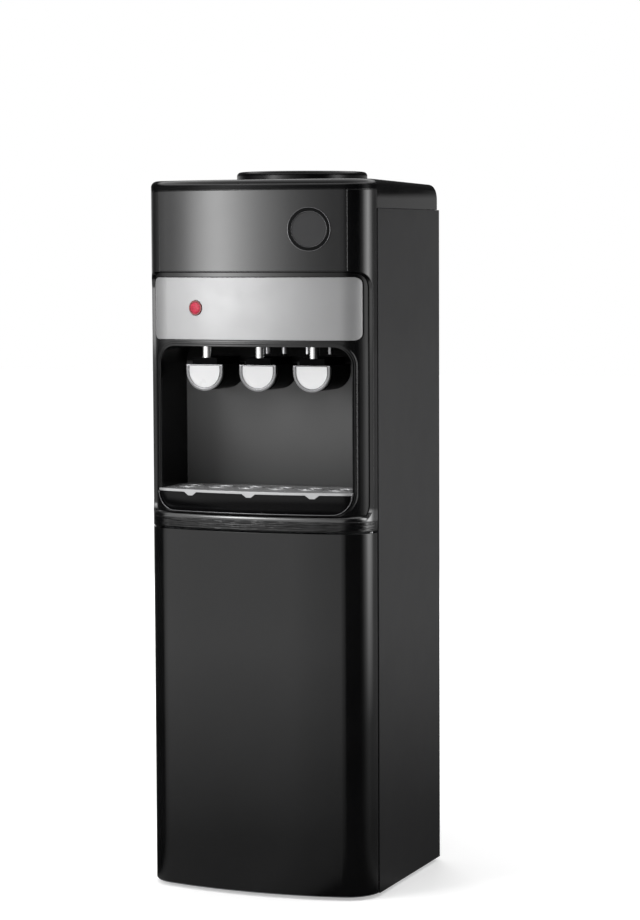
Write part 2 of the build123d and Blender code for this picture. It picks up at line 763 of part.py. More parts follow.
def make_tray():
    """The basin and its bowed front, which hangs over the rolled edge below it."""
    inner = niche_half_width - tray_side_gap
    front = shell_of(tray_inset, tray_inset + wall, waist_back, tray_bottom, tray_top)
    front &= window(tray_half_width, tray_bottom, tray_top, 0, tray_corner, -1, waist_back)
    floor = niche_floor + gap
    foot = niche_foot_radius - 1
    basin = window(inner, floor, tray_top, 0, foot, 0, tray_back)
    basin &= prism(tray_inset, body_depth, tray_bottom, tray_top)
    hollow = window(inner - tray_wall, floor + tray_wall, tray_top + tray_corner, 0,
                    foot - tray_wall, 0, tray_back - tray_wall)
    hollow &= prism(tray_inset + wall, body_depth, tray_bottom, tray_top + tray_corner)
    save("drip_tray", front + basin - hollow - roll(gap))


def make_grille():
    low = tray_top + gap
    high = low + grille_sheet
    thin = grille_inset + grille_sheet / 2
    width = tray_half_width - grille_end_gap
    inner = niche_half_width - tray_side_gap + gap / 2
    across = block(-width, width, -1, waist_back, tray_bottom, high + 1)
    plan = prism(grille_inset, tray_back - gap, low, high)
    plan &= block(-inner, inner, -1, body_depth, tray_bottom, high + 1)
    plan += shell_of(grille_inset, waist_setback - gap, waist_back, low, high) & across
    plan += shell_of(grille_inset, thin, waist_back, high - grille_lip, high) & across
    tip, root = tab_tip, tab_half_width
    corners = [(-root, 0), (root, 0), (tip, -tab_drop), (-tip, -tab_drop)]
    tab = make_face([Line(a, b) for a, b in zip(corners, corners[1:] + corners[:1])])
    for x in (-tab_x, 0, tab_x):
        bar = extrude(Pos(x, 0, low) * Rot(90, 0, 0) * tab, waist_back, (0, 1, 0))
        plan += bar & shell_of(grille_inset, thin, waist_back, low - tab_drop, low)
    for index in range(dish_count):
        x = (index - (dish_count - 1) / 2) * dish_pitch
        plan += rod(x, dish_y, low + 1, high + dish_rise, dish_radius) - rod(
            x, dish_y, low, high + 2 * dish_rise, dish_radius - dish_rim)
        spots = [(0, 0)] + [(drip_circle * cos(turn * pi / 3), drip_circle * sin(turn * pi / 3))
                            for turn in range(6)]
        for dx, dy in spots:
            hole = RegularPolygon(drip_hole, 6)
            plan -= extrude(Pos(x + dx, dish_y + dy, low - 1) * hole, grille_sheet + 2)
    save("drip_grille", plan)


def make_door():
    body = shell_of(0, wall, door_back, door_bottom, door_top)
    for z in (door_bottom, door_top - wall):
        body += prism(0, door_back, z, z + wall)
    clear = gap + play
    boss_length = hinge_pin_length + wall + 1
    for low, high in ((door_bottom, door_bottom + boss_length),
                      (door_top - boss_length, door_top)):
        body += rod(hinge_x, hinge_y, low, high, hinge_boss_radius) & prism(0, door_back, low, high)
    for low, high in ((door_bottom - 1, door_bottom + hinge_pin_length + 1),
                      (door_top - hinge_pin_length - 1, door_top + 1)):
        body -= rod(hinge_x, hinge_y, low, high, hinge_pin_radius + play)
    low = door_bottom + wall + gap
    high = door_top - wall - gap
    liner = prism(wall + gap, door_liner_y + wall, low, high)
    liner -= block(-half, half, -1, door_liner_y, low - 1, high + 1)
    for z in (door_bottom, door_top - boss_length - gap):
        liner -= rod(hinge_x, hinge_y, z, z + boss_length + gap, hinge_boss_radius + clear)
    sides = half - recess_side
    recess = window(sides, recess_bottom, recess_top, recess_radius, recess_radius,
                    door_liner_y - recess_depth, door_liner_y + 2 * wall)
    around = window(sides + wall, recess_bottom - wall, recess_top + wall, recess_radius + wall,
                    recess_radius + wall, door_liner_y - recess_depth - wall, door_liner_y + 1)
    save("door_shell", body)
    save("door_liner", liner + around - recess)
    face = door_liner_y + wall
    outer = gasket_half_width
    inner = outer - gasket_width
    seal = block(-outer, outer, face, store_front - gasket_gap, gasket_bottom, gasket_top)
    seal -= block(-inner, inner, face - 1, store_front, gasket_bottom + gasket_width,
                  gasket_top - gasket_width)
    save("door_gasket", seal)
    near = -outer - 4 * gap
    low = catch_z - catch_height / 2
    high = catch_z + catch_height / 2
    save("catch_plate", block(near - catch_width, near, face, face + catch_thickness, low, high))
    save("catch_magnet", block(near - catch_width + magnet_inset, near - magnet_inset,
                               face + catch_thickness + gap, store_front, low + magnet_inset,
                               high - magnet_inset))


def make_hinges():
    floor = fascia_bottom + wall
    upper = rod(hinge_x, hinge_y, door_top - hinge_pin_length, floor, hinge_pin_radius)
    plate = block(hinge_x - hinge_plate_width, hinge_x + 2 * hinge_pin_radius,
                  hinge_y - 4 * hinge_pin_radius, seam_y - wall - gap, floor, floor + hinge_plate)
    upper += plate & prism(skin + gap, seam_y, floor, floor + hinge_plate)
    lower = rod(hinge_x, hinge_y, base_level, door_bottom + hinge_pin_length, hinge_pin_radius)
    save("door_hinge_pins", upper, lower)


def store_form(grow, front):
    """The stepped storage space; grow adds the wall round it."""
    width = store_half_width + grow
    low = base_level + gap + store_wall - grow
    high = store_top - store_wall + grow
    step = store_step_height + store_wall - grow
    upper = block(-width, width, front, store_back - store_wall + grow, step, high)
    lower = block(-width, width, front, store_step_back - store_wall + grow, low, high)
    return upper + lower


def make_store():
    flange_x = store_half_width + store_wall + store_flange
    liner = store_form(store_wall, store_front)
    liner += block(-flange_x, flange_x, store_front, store_front + store_wall,
                   base_level + gap, store_top + store_wall)
    liner -= store_form(0, store_front - 1)
    front = store_front + shelf_front
    back = store_back - shelf_back
    for side in (-1, 1):
        ends = sorted((side * (store_half_width - shelf_ledge), side * (store_half_width + 1)))
        liner += block(*ends, front, back, shelf_level - shelf_wire, shelf_level)
    save("cabinet_liner", liner)
    wire = shelf_wire / 2
    reach = store_half_width - 1
    z = shelf_level + wire
    shelf = cross_rod(-reach, reach, front + shelf_wire, z, wire)
    shelf += cross_rod(-reach, reach, back - shelf_wire, z, wire)
    for index in range(shelf_bars):
        x = (reach - wire) * (2 * index / (shelf_bars - 1) - 1)
        shelf += back_rod(x, front + shelf_wire - 1, back - shelf_wire + 1, z, wire * 0.8)
    save("cabinet_shelf", shelf)


def pipe(points, radius, bend):
    """A round tube along straight runs joined by arcs."""
    path = FilletPolyline(*points, radius=bend)
    return sweep(Plane(path @ 0, z_dir=path % 0) * Circle(radius), path)


def make_cold_tank():
    inside = cold_radius - tank_sheet
    collar = neck_radius + wall + collar_gap
    tank = rod(0, seat_y, cold_bottom, cold_top, cold_radius)
    tank -= rod(0, seat_y, cold_bottom + tank_sheet, cold_top - tank_sheet, inside)
    tank += rod(0, seat_y, cold_top - tank_sheet, cold_top + collar_height, collar + 2 * tank_sheet)
    tank -= rod(0, seat_y, cold_top - 2 * tank_sheet, cold_top + 2 * collar_height, collar)
    save("cold_tank", tank)
    baffle = rod(0, seat_y, baffle_level, baffle_level + 2 * tank_sheet, inside - gap)
    for step in range(4):
        lean = pi / 4 + step * pi / 2
        baffle -= rod(baffle_ring * cos(lean), seat_y + baffle_ring * sin(lean), baffle_level - 1,
                      baffle_level + 3 * tank_sheet, baffle_hole)
    save("tank_baffle", baffle)
    room = 2 * tube_radius
    jacket_radius = cold_radius + jacket_wall
    jacket = rod(0, seat_y, cold_outlet_z + room, ambient_outlet_z - room, jacket_radius)
    jacket -= rod(0, seat_y, cold_bottom, cold_top, cold_radius + play)
    save("evaporator_jacket", jacket)
    foam = block(gap - panel_inner, panel_inner - gap, block_front, block_back, block_bottom,
                 block_top)
    foam -= rod(0, seat_y, cold_bottom - gap, block_top + 1, jacket_radius + gap)
    near = seat_y - cold_radius / 2
    for x, z in ((0, ambient_outlet_z), (cold_outlet_x, cold_outlet_z)):
        foam -= back_rod(x, block_front - 1, near, z, tube_radius + gap)
    foam -= rod(feed_x, seat_y, block_bottom - 1, cold_bottom, tube_radius + gap)
    save("tank_insulation", foam)


def make_hot_tank():
    tank = rod(hot_x, hot_y, hot_bottom, hot_top, hot_radius)
    save("hot_tank", fillet(tank.edges().filter_by(GeomType.CIRCLE), hot_edge_radius))
    room = hot_radius + gap
    around = hot_radius + hot_jacket
    sleeve = rod(hot_x, hot_y, hot_bottom + hot_jacket, hot_top - hot_jacket, around)
    sleeve -= rod(hot_x, hot_y, hot_bottom, hot_top, room)
    pads = []
    for share in thermostat_shares:
        z = hot_bottom + share * hot_height
        sleeve -= cross_rod(hot_x, hot_x + around + 1, hot_y, z, thermostat_radius + 1)
        pad = cross_rod(hot_x + hot_radius / 2, hot_x + around + 1, hot_y, z, thermostat_radius)
        pad += cross_rod(hot_x + around, hot_x + around + thermostat_cap, hot_y, z,
                         0.7 * thermostat_radius)
        pads.append(pad - rod(hot_x, hot_y, hot_bottom, hot_top, room))
    save("hot_tank_jacket", sleeve)
    save("thermostats", *pads)
    outer = hot_radius - stand_inset
    stand = rod(hot_x, hot_y, deck_level + deck_sheet, hot_bottom, outer)
    stand -= rod(hot_x, hot_y, deck_level, hot_bottom + 1, outer - stand_wall)
    clear = tube_radius + tube_notch
    stand -= block(hot_x, hot_x + hot_radius, seat_y - clear, seat_y + clear, feed_z - clear,
                   feed_z + clear)
    stand -= block(hot_x - clear, hot_x + clear, hot_y, hot_y + hot_radius, drain_run_z - clear,
                   drain_run_z + clear)
    save("hot_tank_stand", stand)


def make_tubes():
    low = stem_top + gap
    side = sqrt(cold_radius ** 2 - (cold_outlet_x - tube_radius) ** 2) + gap
    supply = hot_x + hot_radius / 2
    waste = hot_y + hot_radius / 3
    shift = stem_y + tube_shift
    tubes = [
        pipe([(tap_pitch, stem_y, low), (tap_pitch, stem_y, cold_outlet_z),
              (cold_outlet_x, shift, cold_outlet_z),
              (cold_outlet_x, seat_y - side, cold_outlet_z)], tube_radius, 11),
        pipe([(0, stem_y, low), (0, stem_y, ambient_outlet_z),
              (0, seat_y - cold_radius - gap, ambient_outlet_z)], tube_radius, 14),
        pipe([(-tap_pitch, stem_y, low), (-tap_pitch, stem_y, hot_run_z),
              (-tap_pitch, hot_y, hot_run_z), (-tap_pitch, hot_y, hot_top + gap)],
             tube_radius, 8),
        pipe([(feed_x, seat_y, cold_bottom - gap), (feed_x, seat_y, feed_z),
              (supply, seat_y, feed_z), (supply, seat_y, hot_bottom - gap)], tube_radius, 8),
        pipe([(hot_x, waste, hot_bottom - gap), (hot_x, waste, drain_run_z),
              (hot_x, drain_y, drain_run_z), (drain_x, drain_y, drain_run_z),
              (drain_x, drain_y, drain_elbow + gap)], tube_radius, 7),
    ]
    save("water_tubes", *tubes)


def make_compressor():
    radius = compressor_radius
    top = compressor_bottom + compressor_height
    can = rod(compressor_x, compressor_y, compressor_bottom, top, radius)
    rims = can.edges().filter_by(GeomType.CIRCLE)
    can = fillet(rims.group_by(Axis.Z)[-1], dome_radius)
    can = fillet(can.edges().filter_by(GeomType.CIRCLE).group_by(Axis.Z)[0], dome_radius * 0.6)
    weld = compressor_bottom + compressor_height / 2
    can += rod(compressor_x, compressor_y, weld, weld + weld_height, radius + weld_proud)
    low = base_level + mount_height
    plate = block(compressor_x - foot_plate_x, compressor_x + foot_plate_x,
                  compressor_y - foot_plate_y, compressor_y + foot_plate_y, low, low + foot_plate)
    plate = fillet(plate.edges().filter_by(Axis.Z), foot_plate_corner)
    plate += rod(compressor_x, compressor_y, low, compressor_bottom + weld_height, radius / 2)
    save("compressor", can + plate)
    mounts = [rod(compressor_x + across * (foot_plate_x - mount_inset),
                  compressor_y + along * (foot_plate_y - mount_inset), base_level, low, mount_radius)
              for across in (-1, 1) for along in (-1, 1)]
    save("compressor_mounts", *mounts)
    start = compressor_x + radius
    cover = block(start - relay_reach / 2, start + relay_reach, compressor_y - relay_half_width,
                  compressor_y + relay_half_width, compressor_bottom + relay_level,
                  compressor_bottom + relay_level + relay_height)
    cover -= rod(compressor_x, compressor_y, compressor_bottom, top, radius + gap)
    save("compressor_cover", cover)
    drier = rod(drier_x, pipe_y, drier_bottom, drier_bottom + drier_length, drier_radius)
    save("filter_drier", fillet(drier.edges().filter_by(GeomType.CIRCLE), drier_radius / 2))


def compressor_dome(out):
    """Height of the compressor's rounded top at a distance from its axis."""
    top = compressor_bottom + compressor_height
    past = max(out - (compressor_radius - dome_radius), 0)
    return top - dome_radius + sqrt(dome_radius ** 2 - past ** 2)


def make_refrigerant_pipes():
    end_x = -run_end
    out_x = end_x - pipe_loop
    leg = -condenser_half_width - pipe_side
    top_pass = condenser_bottom + (condenser_passes - 1) * condenser_pitch
    under = rear_bottom - pipe_drop
    lower = under - pipe_lower
    port_y = compressor_y + discharge_offset
    port_z = compressor_bottom + discharge_level
    near = compressor_x - sqrt(compressor_radius ** 2 - (discharge_offset - condenser_tube) ** 2)
    return_x = compressor_x + suction_offset
    return_z = compressor_bottom + compressor_height + pipe_rise
    under_drier = drier_bottom - drier_loop
    dome = compressor_dome(sqrt(suction_offset ** 2 + discharge_offset ** 2) - suction_radius)
    back = block_back + gap
    pipes = [
        pipe([(end_x, condenser_y, condenser_bottom), (out_x, condenser_y, condenser_bottom),
              (out_x, condenser_y, under), (out_x, port_y, under), (out_x, port_y, port_z),
              (near - gap, port_y, port_z)], condenser_tube, 8),
        pipe([(end_x, condenser_y, top_pass), (leg, condenser_y, top_pass),
              (leg, condenser_y, lower), (leg, pipe_y, lower), (drier_x, pipe_y, lower),
              (drier_x, pipe_y, drier_bottom + drier_length)], condenser_tube, 8),
        pipe([(drier_x, pipe_y, drier_bottom), (drier_x, pipe_y, under_drier),
              (capillary_x, pipe_y, under_drier), (capillary_x, pipe_y, capillary_z),
              (capillary_end, pipe_y, capillary_z), (capillary_end, back, capillary_z)],
             capillary_radius, 5),
        pipe([(suction_x, back, suction_top), (suction_x, pipe_y, suction_top),
              (suction_x, pipe_y, return_z), (suction_x, port_y, return_z),
              (return_x, port_y, return_z), (return_x, port_y, dome + gap)], suction_radius, 4.5),
    ]
    save("refrigerant_pipes", *pipes)


def make_condenser():
    runs = None
    for index in range(condenser_passes):
        z = condenser_bottom + index * condenser_pitch
        run = cross_rod(-run_end, run_end, condenser_y, z, condenser_tube)
        runs = run if runs is None else runs + run
        if index + 1 < condenser_passes:
            side = 1 if index % 2 == 0 else -1
            start = (side * run_end, condenser_y, z)
            centre = (side * run_end, condenser_y, z + condenser_pitch / 2)
            section = Plane(start, x_dir=(0, 0, 1), z_dir=(side, 0, 0)) * Circle(condenser_tube)
            runs += revolve(section, Axis(centre, (0, -side, 0)), 180)
    low = condenser_bottom - wire_reach
    high = condenser_bottom + (condenser_passes - 1) * condenser_pitch + wire_reach
    wires = [rod((index - (wire_count - 1) / 2) * wire_pitch,
                 condenser_y + side * (condenser_tube + wire_radius), low, high, wire_radius)
             for index in range(wire_count) for side in (-1, 1)]
    save("condenser", runs, *wires)
    clips = []
    for side in (-1, 1):
        x = side * clip_place * wire_pitch
        for index in (1, condenser_passes - 2):
            z = condenser_bottom + index * condenser_pitch
            clip = block(x - clip_half, x + clip_half, rear_y + sheet,
                         condenser_y + condenser_tube + wire_radius, z - clip_height / 2,
                         z + clip_height / 2)
            clip -= cross_rod(x - 2 * clip_half, x + 2 * clip_half, condenser_y, z,
                              condenser_tube + play)
            clips.append(clip)
    save("condenser_clips", *clips)


def make_switches():
    wide = switch_width / 2
    tall = switch_height / 2
    face = body_depth + switch_proud
    inner_x = wide - switch_wall
    inner_z = tall - switch_wall
    housings = []
    for name, x in zip(("hot", "cold"), switch_x):
        frame = block(x - wide, x + wide, rear_y - switch_depth, face, switch_z - tall,
                      switch_z + tall)
        edge_x = wide + switch_flange
        edge_z = tall + switch_flange
        frame += block(x - edge_x, x + edge_x, rear_y + sheet, face, switch_z - edge_z,
                       switch_z + edge_z)
        frame -= block(x - inner_x, x + inner_x, rear_y - switch_depth / 2, face + 1,
                       switch_z - inner_z, switch_z + inner_z)
        frame -= cross_rod(x - wide, x + wide, rocker_y, switch_z, trunnion_radius + play)
        housings.append(frame)
        high = inner_z - rocker_gap
        corners = [(-rocker_back, 1 - high), (rocker_edge, -high), (rocker_waist, 0),
                   (rocker_edge, high), (-rocker_back, high - 1)]
        section = make_face([Line(a, b) for a, b in zip(corners, corners[1:] + corners[:1])])
        reach = inner_x - rocker_gap
        key = extrude(Plane.YZ.offset(x - reach) * section, 2 * reach, (1, 0, 0))
        key += cross_rod(x - wide + gap, x + wide - gap, 0, 0, trunnion_radius)
        save(f"rocker_{name}", Pos(0, rocker_y, switch_z) * Rot(-rocker_tilt, 0, 0) * key)
    save("switch_housings", *housings)


def make_rear_outlets():
    face = body_depth - sheet / 2
    end = body_depth + drain_reach
    nipple = back_rod(drain_x, drain_y, end, drain_z, drain_radius)
    nipple += rod(drain_x, drain_y, drain_z - drain_radius, drain_elbow, drain_radius)
    nipple += back_rod(drain_x, face, body_depth + 2 * sheet, drain_z, drain_radius + drain_flange)
    save("drain_outlet", nipple)
    cap = back_rod(drain_x, body_depth + 2 * sheet + gap, end + cap_end, drain_z,
                   drain_radius + cap_wall)
    cap -= back_rod(drain_x, body_depth, end + gap, drain_z, drain_radius + gap)
    save("drain_cap", cap)
    gland = back_rod(gland_x, rear_y - gland_depth, body_depth + gland_proud, gland_z, gland_radius)
    gland += back_rod(gland_x, face, body_depth + gland_rim, gland_z, gland_flange)
    gland -= back_rod(gland_x, rear_y - 2 * gland_depth, body_depth + 2 * gland_proud, gland_z,
                      gland_bore)
    save("power_inlet", gland)


os.makedirs("parts", exist_ok=True)
make_base()
make_side_panels()
make_rear()
make_deck()
make_cover()
make_bottle_seat()
make_fascia()
make_upper_panel()
make_niche()
make_band()
make_taps()
make_screws()
make_tray()
make_grille()
make_door()
make_hinges()
make_store()
make_cold_tank()
make_hot_tank()
make_tubes()
make_compressor()
make_refrigerant_pipes()
make_condenser()
make_switches()
make_rear_outlets()
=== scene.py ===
"""Looks of the top-loading water dispenser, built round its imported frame. Lengths are metres."""
import json
from math import asin, cos, pi, radians, sin, sqrt

import bpy
from mathutils import Matrix, Vector


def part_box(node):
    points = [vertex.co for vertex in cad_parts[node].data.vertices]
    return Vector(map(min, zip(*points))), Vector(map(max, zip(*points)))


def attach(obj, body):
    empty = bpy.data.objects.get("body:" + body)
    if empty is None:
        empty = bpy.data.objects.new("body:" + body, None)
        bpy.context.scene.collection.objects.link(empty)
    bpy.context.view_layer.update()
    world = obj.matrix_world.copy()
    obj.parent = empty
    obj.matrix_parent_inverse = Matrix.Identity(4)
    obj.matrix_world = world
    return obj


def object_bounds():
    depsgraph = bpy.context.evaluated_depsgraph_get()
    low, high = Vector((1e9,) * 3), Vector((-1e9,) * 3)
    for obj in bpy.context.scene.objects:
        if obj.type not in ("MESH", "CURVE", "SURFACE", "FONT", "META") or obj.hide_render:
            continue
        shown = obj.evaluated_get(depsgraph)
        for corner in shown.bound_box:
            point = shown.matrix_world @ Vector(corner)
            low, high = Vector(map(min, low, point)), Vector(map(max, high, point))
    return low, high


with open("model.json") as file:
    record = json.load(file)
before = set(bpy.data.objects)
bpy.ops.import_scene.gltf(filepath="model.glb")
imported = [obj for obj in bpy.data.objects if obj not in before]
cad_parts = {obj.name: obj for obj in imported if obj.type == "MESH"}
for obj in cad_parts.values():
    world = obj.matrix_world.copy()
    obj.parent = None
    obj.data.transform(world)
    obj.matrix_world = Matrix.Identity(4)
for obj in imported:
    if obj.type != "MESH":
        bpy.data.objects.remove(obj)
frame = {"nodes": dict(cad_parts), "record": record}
cad_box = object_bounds()
nodes = frame["nodes"]

# Camera, as the photograph was taken
CAMERA_PLACE = (1.5344, -3.7387, 0.9162)
CAMERA_YAW = radians(21.77)
CAMERA_PITCH = radians(4.373)
CAMERA_ROLL = radians(-0.2675)
FOCAL_PIXELS = 2783.9
FRAME_HEIGHT = 920
SENSOR = 36.0
CLIP_END = 100

# Bow of the front, as in the frame
FRONT_Y = cad_box[0].y
BOW_RADIUS = 0.560
BOW_CENTRE_Y = FRONT_Y + BOW_RADIUS

# Dispensing niche: its textured rear wall is painted lighter towards its top than at its foot, as
# painted light, and darker above the paddles, as painted shade
NICHE_BACK = FRONT_Y + 0.118
NICHE_WALL_DEPTHS = (NICHE_BACK - 0.002, NICHE_BACK - 0.001)
NICHE_WALL_TONES_AND_PAINTED_LIGHT = (0.080, 0.195)
NICHE_WALL_PAINTED_LIGHT_HEIGHTS = (0.58, 0.71)
NICHE_SHADE = 0.03
NICHE_SHADE_HEIGHTS = (0.748, 0.754)
NICHE_WALL_ROUGHNESS = 0.62
NICHE_FACE_RADII = (BOW_RADIUS - 0.014, BOW_RADIUS - 0.009)
NICHE_SPECULAR = (0.12, 0.48)     # of the opening's walls and of the face round it

# Ribbed sill below the niche, and the rolled ledge over it
SILL_HEIGHTS = (0.5215, 0.5335)
SILL_BLEND = 0.001
SILL_RIB_SCALE = 55.0
SILL_RIB_STRETCH = (1.0, 1.0, 9.0)
SILL_RIB_HEIGHT = 0.0020
LEDGE_BLEND = 0.002
LEDGE_END = (0.548, 0.552)
LEDGE_SPECULAR = (0.5, 1.0)       # elsewhere and on the ledge
LEDGE_COAT = 0.7
LEDGE_COAT_ROUGHNESS = 0.16

# Bright edges of the medallion's ring, drawn as thin beads whose bright metal is a painted
# highlight: name, radius of the circle, radius of the bead
MEDALLION_X, MEDALLION_Z = 0.0906, 0.9410
MEDALLION_PROUD = 0.0008
MEDALLION_BEADS = (("medallion_outer_bead", 0.0302, 0.0005),
                   ("medallion_inner_bead", 0.0250, 0.00025))
MEDALLION_STEPS = 96
BEAD_SIDES = 8

# Lips of the paddles and of the tray's front, drawn as thin beads whose bright metal is a painted
# highlight
PADDLE_LIP_RADIUS = 0.00045
PADDLE_LIP_GAP = 0.00005          # outwards from the edge of the inlaid face
PADDLE_LIP_SINK = 0.000045        # behind the front of the rim
PADDLE_LIP_STEPS = 40
TRAY_LIP_RADIUS = 0.0006
TRAY_LIP_INSET = 0.0011
TRAY_CORNER = 0.028
TRAY_CORNER_STEPS = 12
TRAY_FOOT_STEPS = 20              # each side of the middle

# Cross recesses in the rear panel's screws, drawn as shallow crosses whose black is painted shade
REAR_SCREWS = [(side * 0.166, z) for side in (-1, 1) for z in (0.250, 0.595, 0.940)]
RECESS_REACH = 0.0022
RECESS_ARM = 0.00045
RECESS_TAPER = 0.94
RECESS_DEPTH = 0.0002
RECESS_PROUD = 0.00005

# Studio
AIM_HEIGHT = 0.55
WORLD_FILL = 0.42
WORLD_DIM = 0.22                  # what reflections see towards the camera
WORLD_TURN = (-0.35, 0.45)        # the world turns from dim to pale between these directions
FLOOR_SIZE = 30.0
FLOOR_ALBEDO = 0.80
FLOOR_MOTTLE = 0.01
FLOOR_GLOW = (0.40, 0.75)         # near the object and far from it
FLOOR_GLOW_REACH = (0.5, 3.0)

# Round screen that only reflections see
TENT_RADIUS = 0.55
TENT_BASE = 0.002
TENT_HEIGHT = 1.60
TENT_SIDES = 180
TENT_LEVELS = (0.745, 0.775)      # the low tones give way to the high ones between these heights
TENT_RISE = (0.0, 0.30)           # the low tones fade to TENT_FOOT towards the floor
TENT_FOOT = 0.25
TENT_FADE = (1.02, 1.07)          # the high tones fade to TENT_CROWN above this
TENT_CROWN = 0.08
TENT_LID = (1.30, 1.42)           # and a soft light starts above this
TENT_LID_GLOW = 1.6
STRIPE_RISE = (0.18, 0.60)        # the narrow light on the right grows between these heights

# Tones of the screen: azimuth in degrees (0 in front, 90 on +X) and strength
LOW_TONES = ((-180, 0.5), (-124, 0.4), (-112, 0.10), (-100, 0.02), (-62, 0.02), (-55, 0.75),
             (-50, 1.08), (0, 1.13), (8, 0.95), (17, 0.84), (23, 0.66), (29, 0.02), (60, 0.02),
             (69, 0.15), (77, 0.5), (85, 0.7), (94, 0.5), (115, 0.40), (150, 0.40), (180, 0.5))
STRIPE_TONES = ((-180, 0.0), (66, 0.0), (76, 1.6), (84, 5.3), (92, 4.2), (101, 0.4), (110, 0.0),
                (180, 0.0))
HIGH_TONES = ((-180, 0.5), (-120, 0.7), (-98, 0.12), (-84, 0.10), (-72, 0.35), (-58, 1.0),
              (-46, 1.4), (-41, 2.6), (-36, 5.6), (-31, 8.2), (-27, 9.0), (-23, 7.8),
              (-18, 5.8), (-12, 3.8), (-7, 2.8), (0, 1.6), (8, 0.95), (16, 0.60), (25, 0.50),
              (32, 0.10), (42, 0.0), (62, 0.0), (70, 0.5), (78, 3.4), (86, 5.8), (94, 2.6),
              (103, 0.5), (116, 0.25), (180, 0.5))

# Arguments of surface() for each finish; the lift keeps the mottle alive in the darkest
MOTTLE_LIFT = 0.0015
FINISHES = {
    "black_gloss": dict(colour=(0.0024, 0.0024, 0.0027), roughness=0.15, specular=0.52,
                        grain=260.0, grain_height=0.000012, edge=0.0016),
    "cover_black": dict(colour=(0.0024, 0.0024, 0.0027), roughness=0.15, specular=0.50,
                        grain=260.0, grain_height=0.000012, edge=0.0012,
                        lean=((0.980, 0.994), (0.0, 0.25))),
    "tray_black": dict(colour=(0.0030, 0.0030, 0.0033), roughness=0.16, specular=0.17,
                       grain=260.0, grain_height=0.000012, edge=0.0024,
                       lean=((0.548, 0.572), (-0.9, -0.05))),
    "shroud_black": dict(colour=(0.0016, 0.0016, 0.0018), roughness=0.34, specular=0.01,
                         grain=700.0, grain_height=0.00002, edge=0.0012),
    "charcoal_paint": dict(colour=(0.010, 0.010, 0.0107), roughness=0.38, specular=0.32,
                           grain=1500.0, grain_height=0.00005, rough_spread=0.012,
                           edge=0.0008),
    "charcoal_plastic": dict(colour=(0.0028, 0.0028, 0.0030), roughness=0.13, specular=0.5,
                             grain=420.0, grain_height=0.00001, edge=0.0012),
    "panel_gloss": dict(colour=(0.0060, 0.0060, 0.0064), roughness=0.14, specular=0.54,
                        grain=2500.0, grain_height=0.000004),
    "silver_paint": dict(colour=(0.325, 0.325, 0.328), roughness=0.50, metallic=0.44,
                         specular=0.5, grain=3500.0, grain_height=0.00001, mottle=0.015,
                         edge=0.0014),
    "silver_grille": dict(colour=(0.52, 0.52, 0.525), roughness=0.24, metallic=0.45,
                          grain=2600.0, grain_height=0.00001, mottle=0.02, edge=0.0007),
    "chrome_trim": dict(colour=(0.22, 0.22, 0.225), roughness=0.16, metallic=1.0, grain=120.0,
                        grain_height=0.000006, rough_spread=0.015, mottle=0.01, edge=0.0022),
    "silver_disc": dict(colour=(0.027, 0.027, 0.028), roughness=0.45, metallic=0.1, specular=0.4,
                        grain=900.0, grain_height=0.00001),
    "ring_black": dict(colour=(0.0020, 0.0020, 0.0022), roughness=0.20, specular=0.10,
                       grain=260.0, grain_height=0.000008, edge=0.0012),
    # Bright metal of the thin beads along edges: a painted highlight
    "painted_highlight_bead": dict(colour=(0.17, 0.17, 0.175), roughness=0.22, metallic=0.9, grain=400.0,
                       grain_height=0.000004, mottle=0.02),
    # Matt black of the screws' shallow cross recesses: painted shade
    "recess_painted_shade": dict(colour=(0.006, 0.006, 0.006), roughness=0.6, grain=900.0),
    "seat_black": dict(colour=(0.0026, 0.0026, 0.0029), roughness=0.22, specular=0.28,
                       grain=260.0, grain_height=0.000012, edge=0.0016),
    "white_insert": dict(colour=(0.82, 0.82, 0.825), roughness=0.30, grain=300.0,
                         grain_height=0.000006, mottle=0.01, coat=0.2, edge=0.0010),
    "dark_red_rim": dict(colour=(0.16, 0.006, 0.006), roughness=0.2, edge=0.0004),
    "steel": dict(colour=(0.52, 0.52, 0.53), roughness=0.28, metallic=1.0, grain=1200.0,
                  stretch=(1.0, 1.0, 8.0)),
    "stainless": dict(colour=(0.62, 0.62, 0.62), roughness=0.24, metallic=1.0, grain=1400.0,
                      stretch=(8.0, 8.0, 1.0)),
    "grey_plastic": dict(colour=(0.045, 0.045, 0.048), roughness=0.5, grain=1400.0,
                         grain_height=0.00004),
    "liner_grey": dict(colour=(0.55, 0.55, 0.55), roughness=0.45, grain=700.0,
                       grain_height=0.00003),
    "rubber": dict(colour=(0.014, 0.014, 0.014), roughness=0.72, grain=900.0,
                   grain_height=0.00005),
    "galvanised": dict(colour=(0.36, 0.37, 0.38), roughness=0.42, metallic=0.85, mottle=0.16,
                       mottle_scale=60.0, grain=500.0),
    "foam": dict(colour=(0.80, 0.78, 0.70), roughness=0.9, grain=380.0, grain_height=0.0006,
                 mottle=0.06, mottle_scale=160.0),
    "copper": dict(colour=(0.62, 0.33, 0.21), roughness=0.3, metallic=1.0, mottle=0.12,
                   mottle_scale=40.0),
    "silicone": dict(colour=(0.62, 0.62, 0.60), roughness=0.35, grain=500.0),
    "rocker_red": dict(colour=(0.45, 0.012, 0.010), roughness=0.25),
    "rocker_green": dict(colour=(0.012, 0.22, 0.045), roughness=0.25),
}

# Nodes whose finish is a variant of their slot's
VARIANTS = {"top_cover": "cover_black", "drip_tray": "tray_black", "tap_shrouds": "shroud_black",
            "dispensing_niche": "niche_black", "medallion_ring": "ring_black",
            "bottle_seat": "seat_black", "front_fascia": "fascia_black"}

# A Mix node's two inputs and its output, by the kind of value it mixes
MIX_SOCKETS = {"FLOAT": (2, 3, 0), "RGBA": (6, 7, 2)}


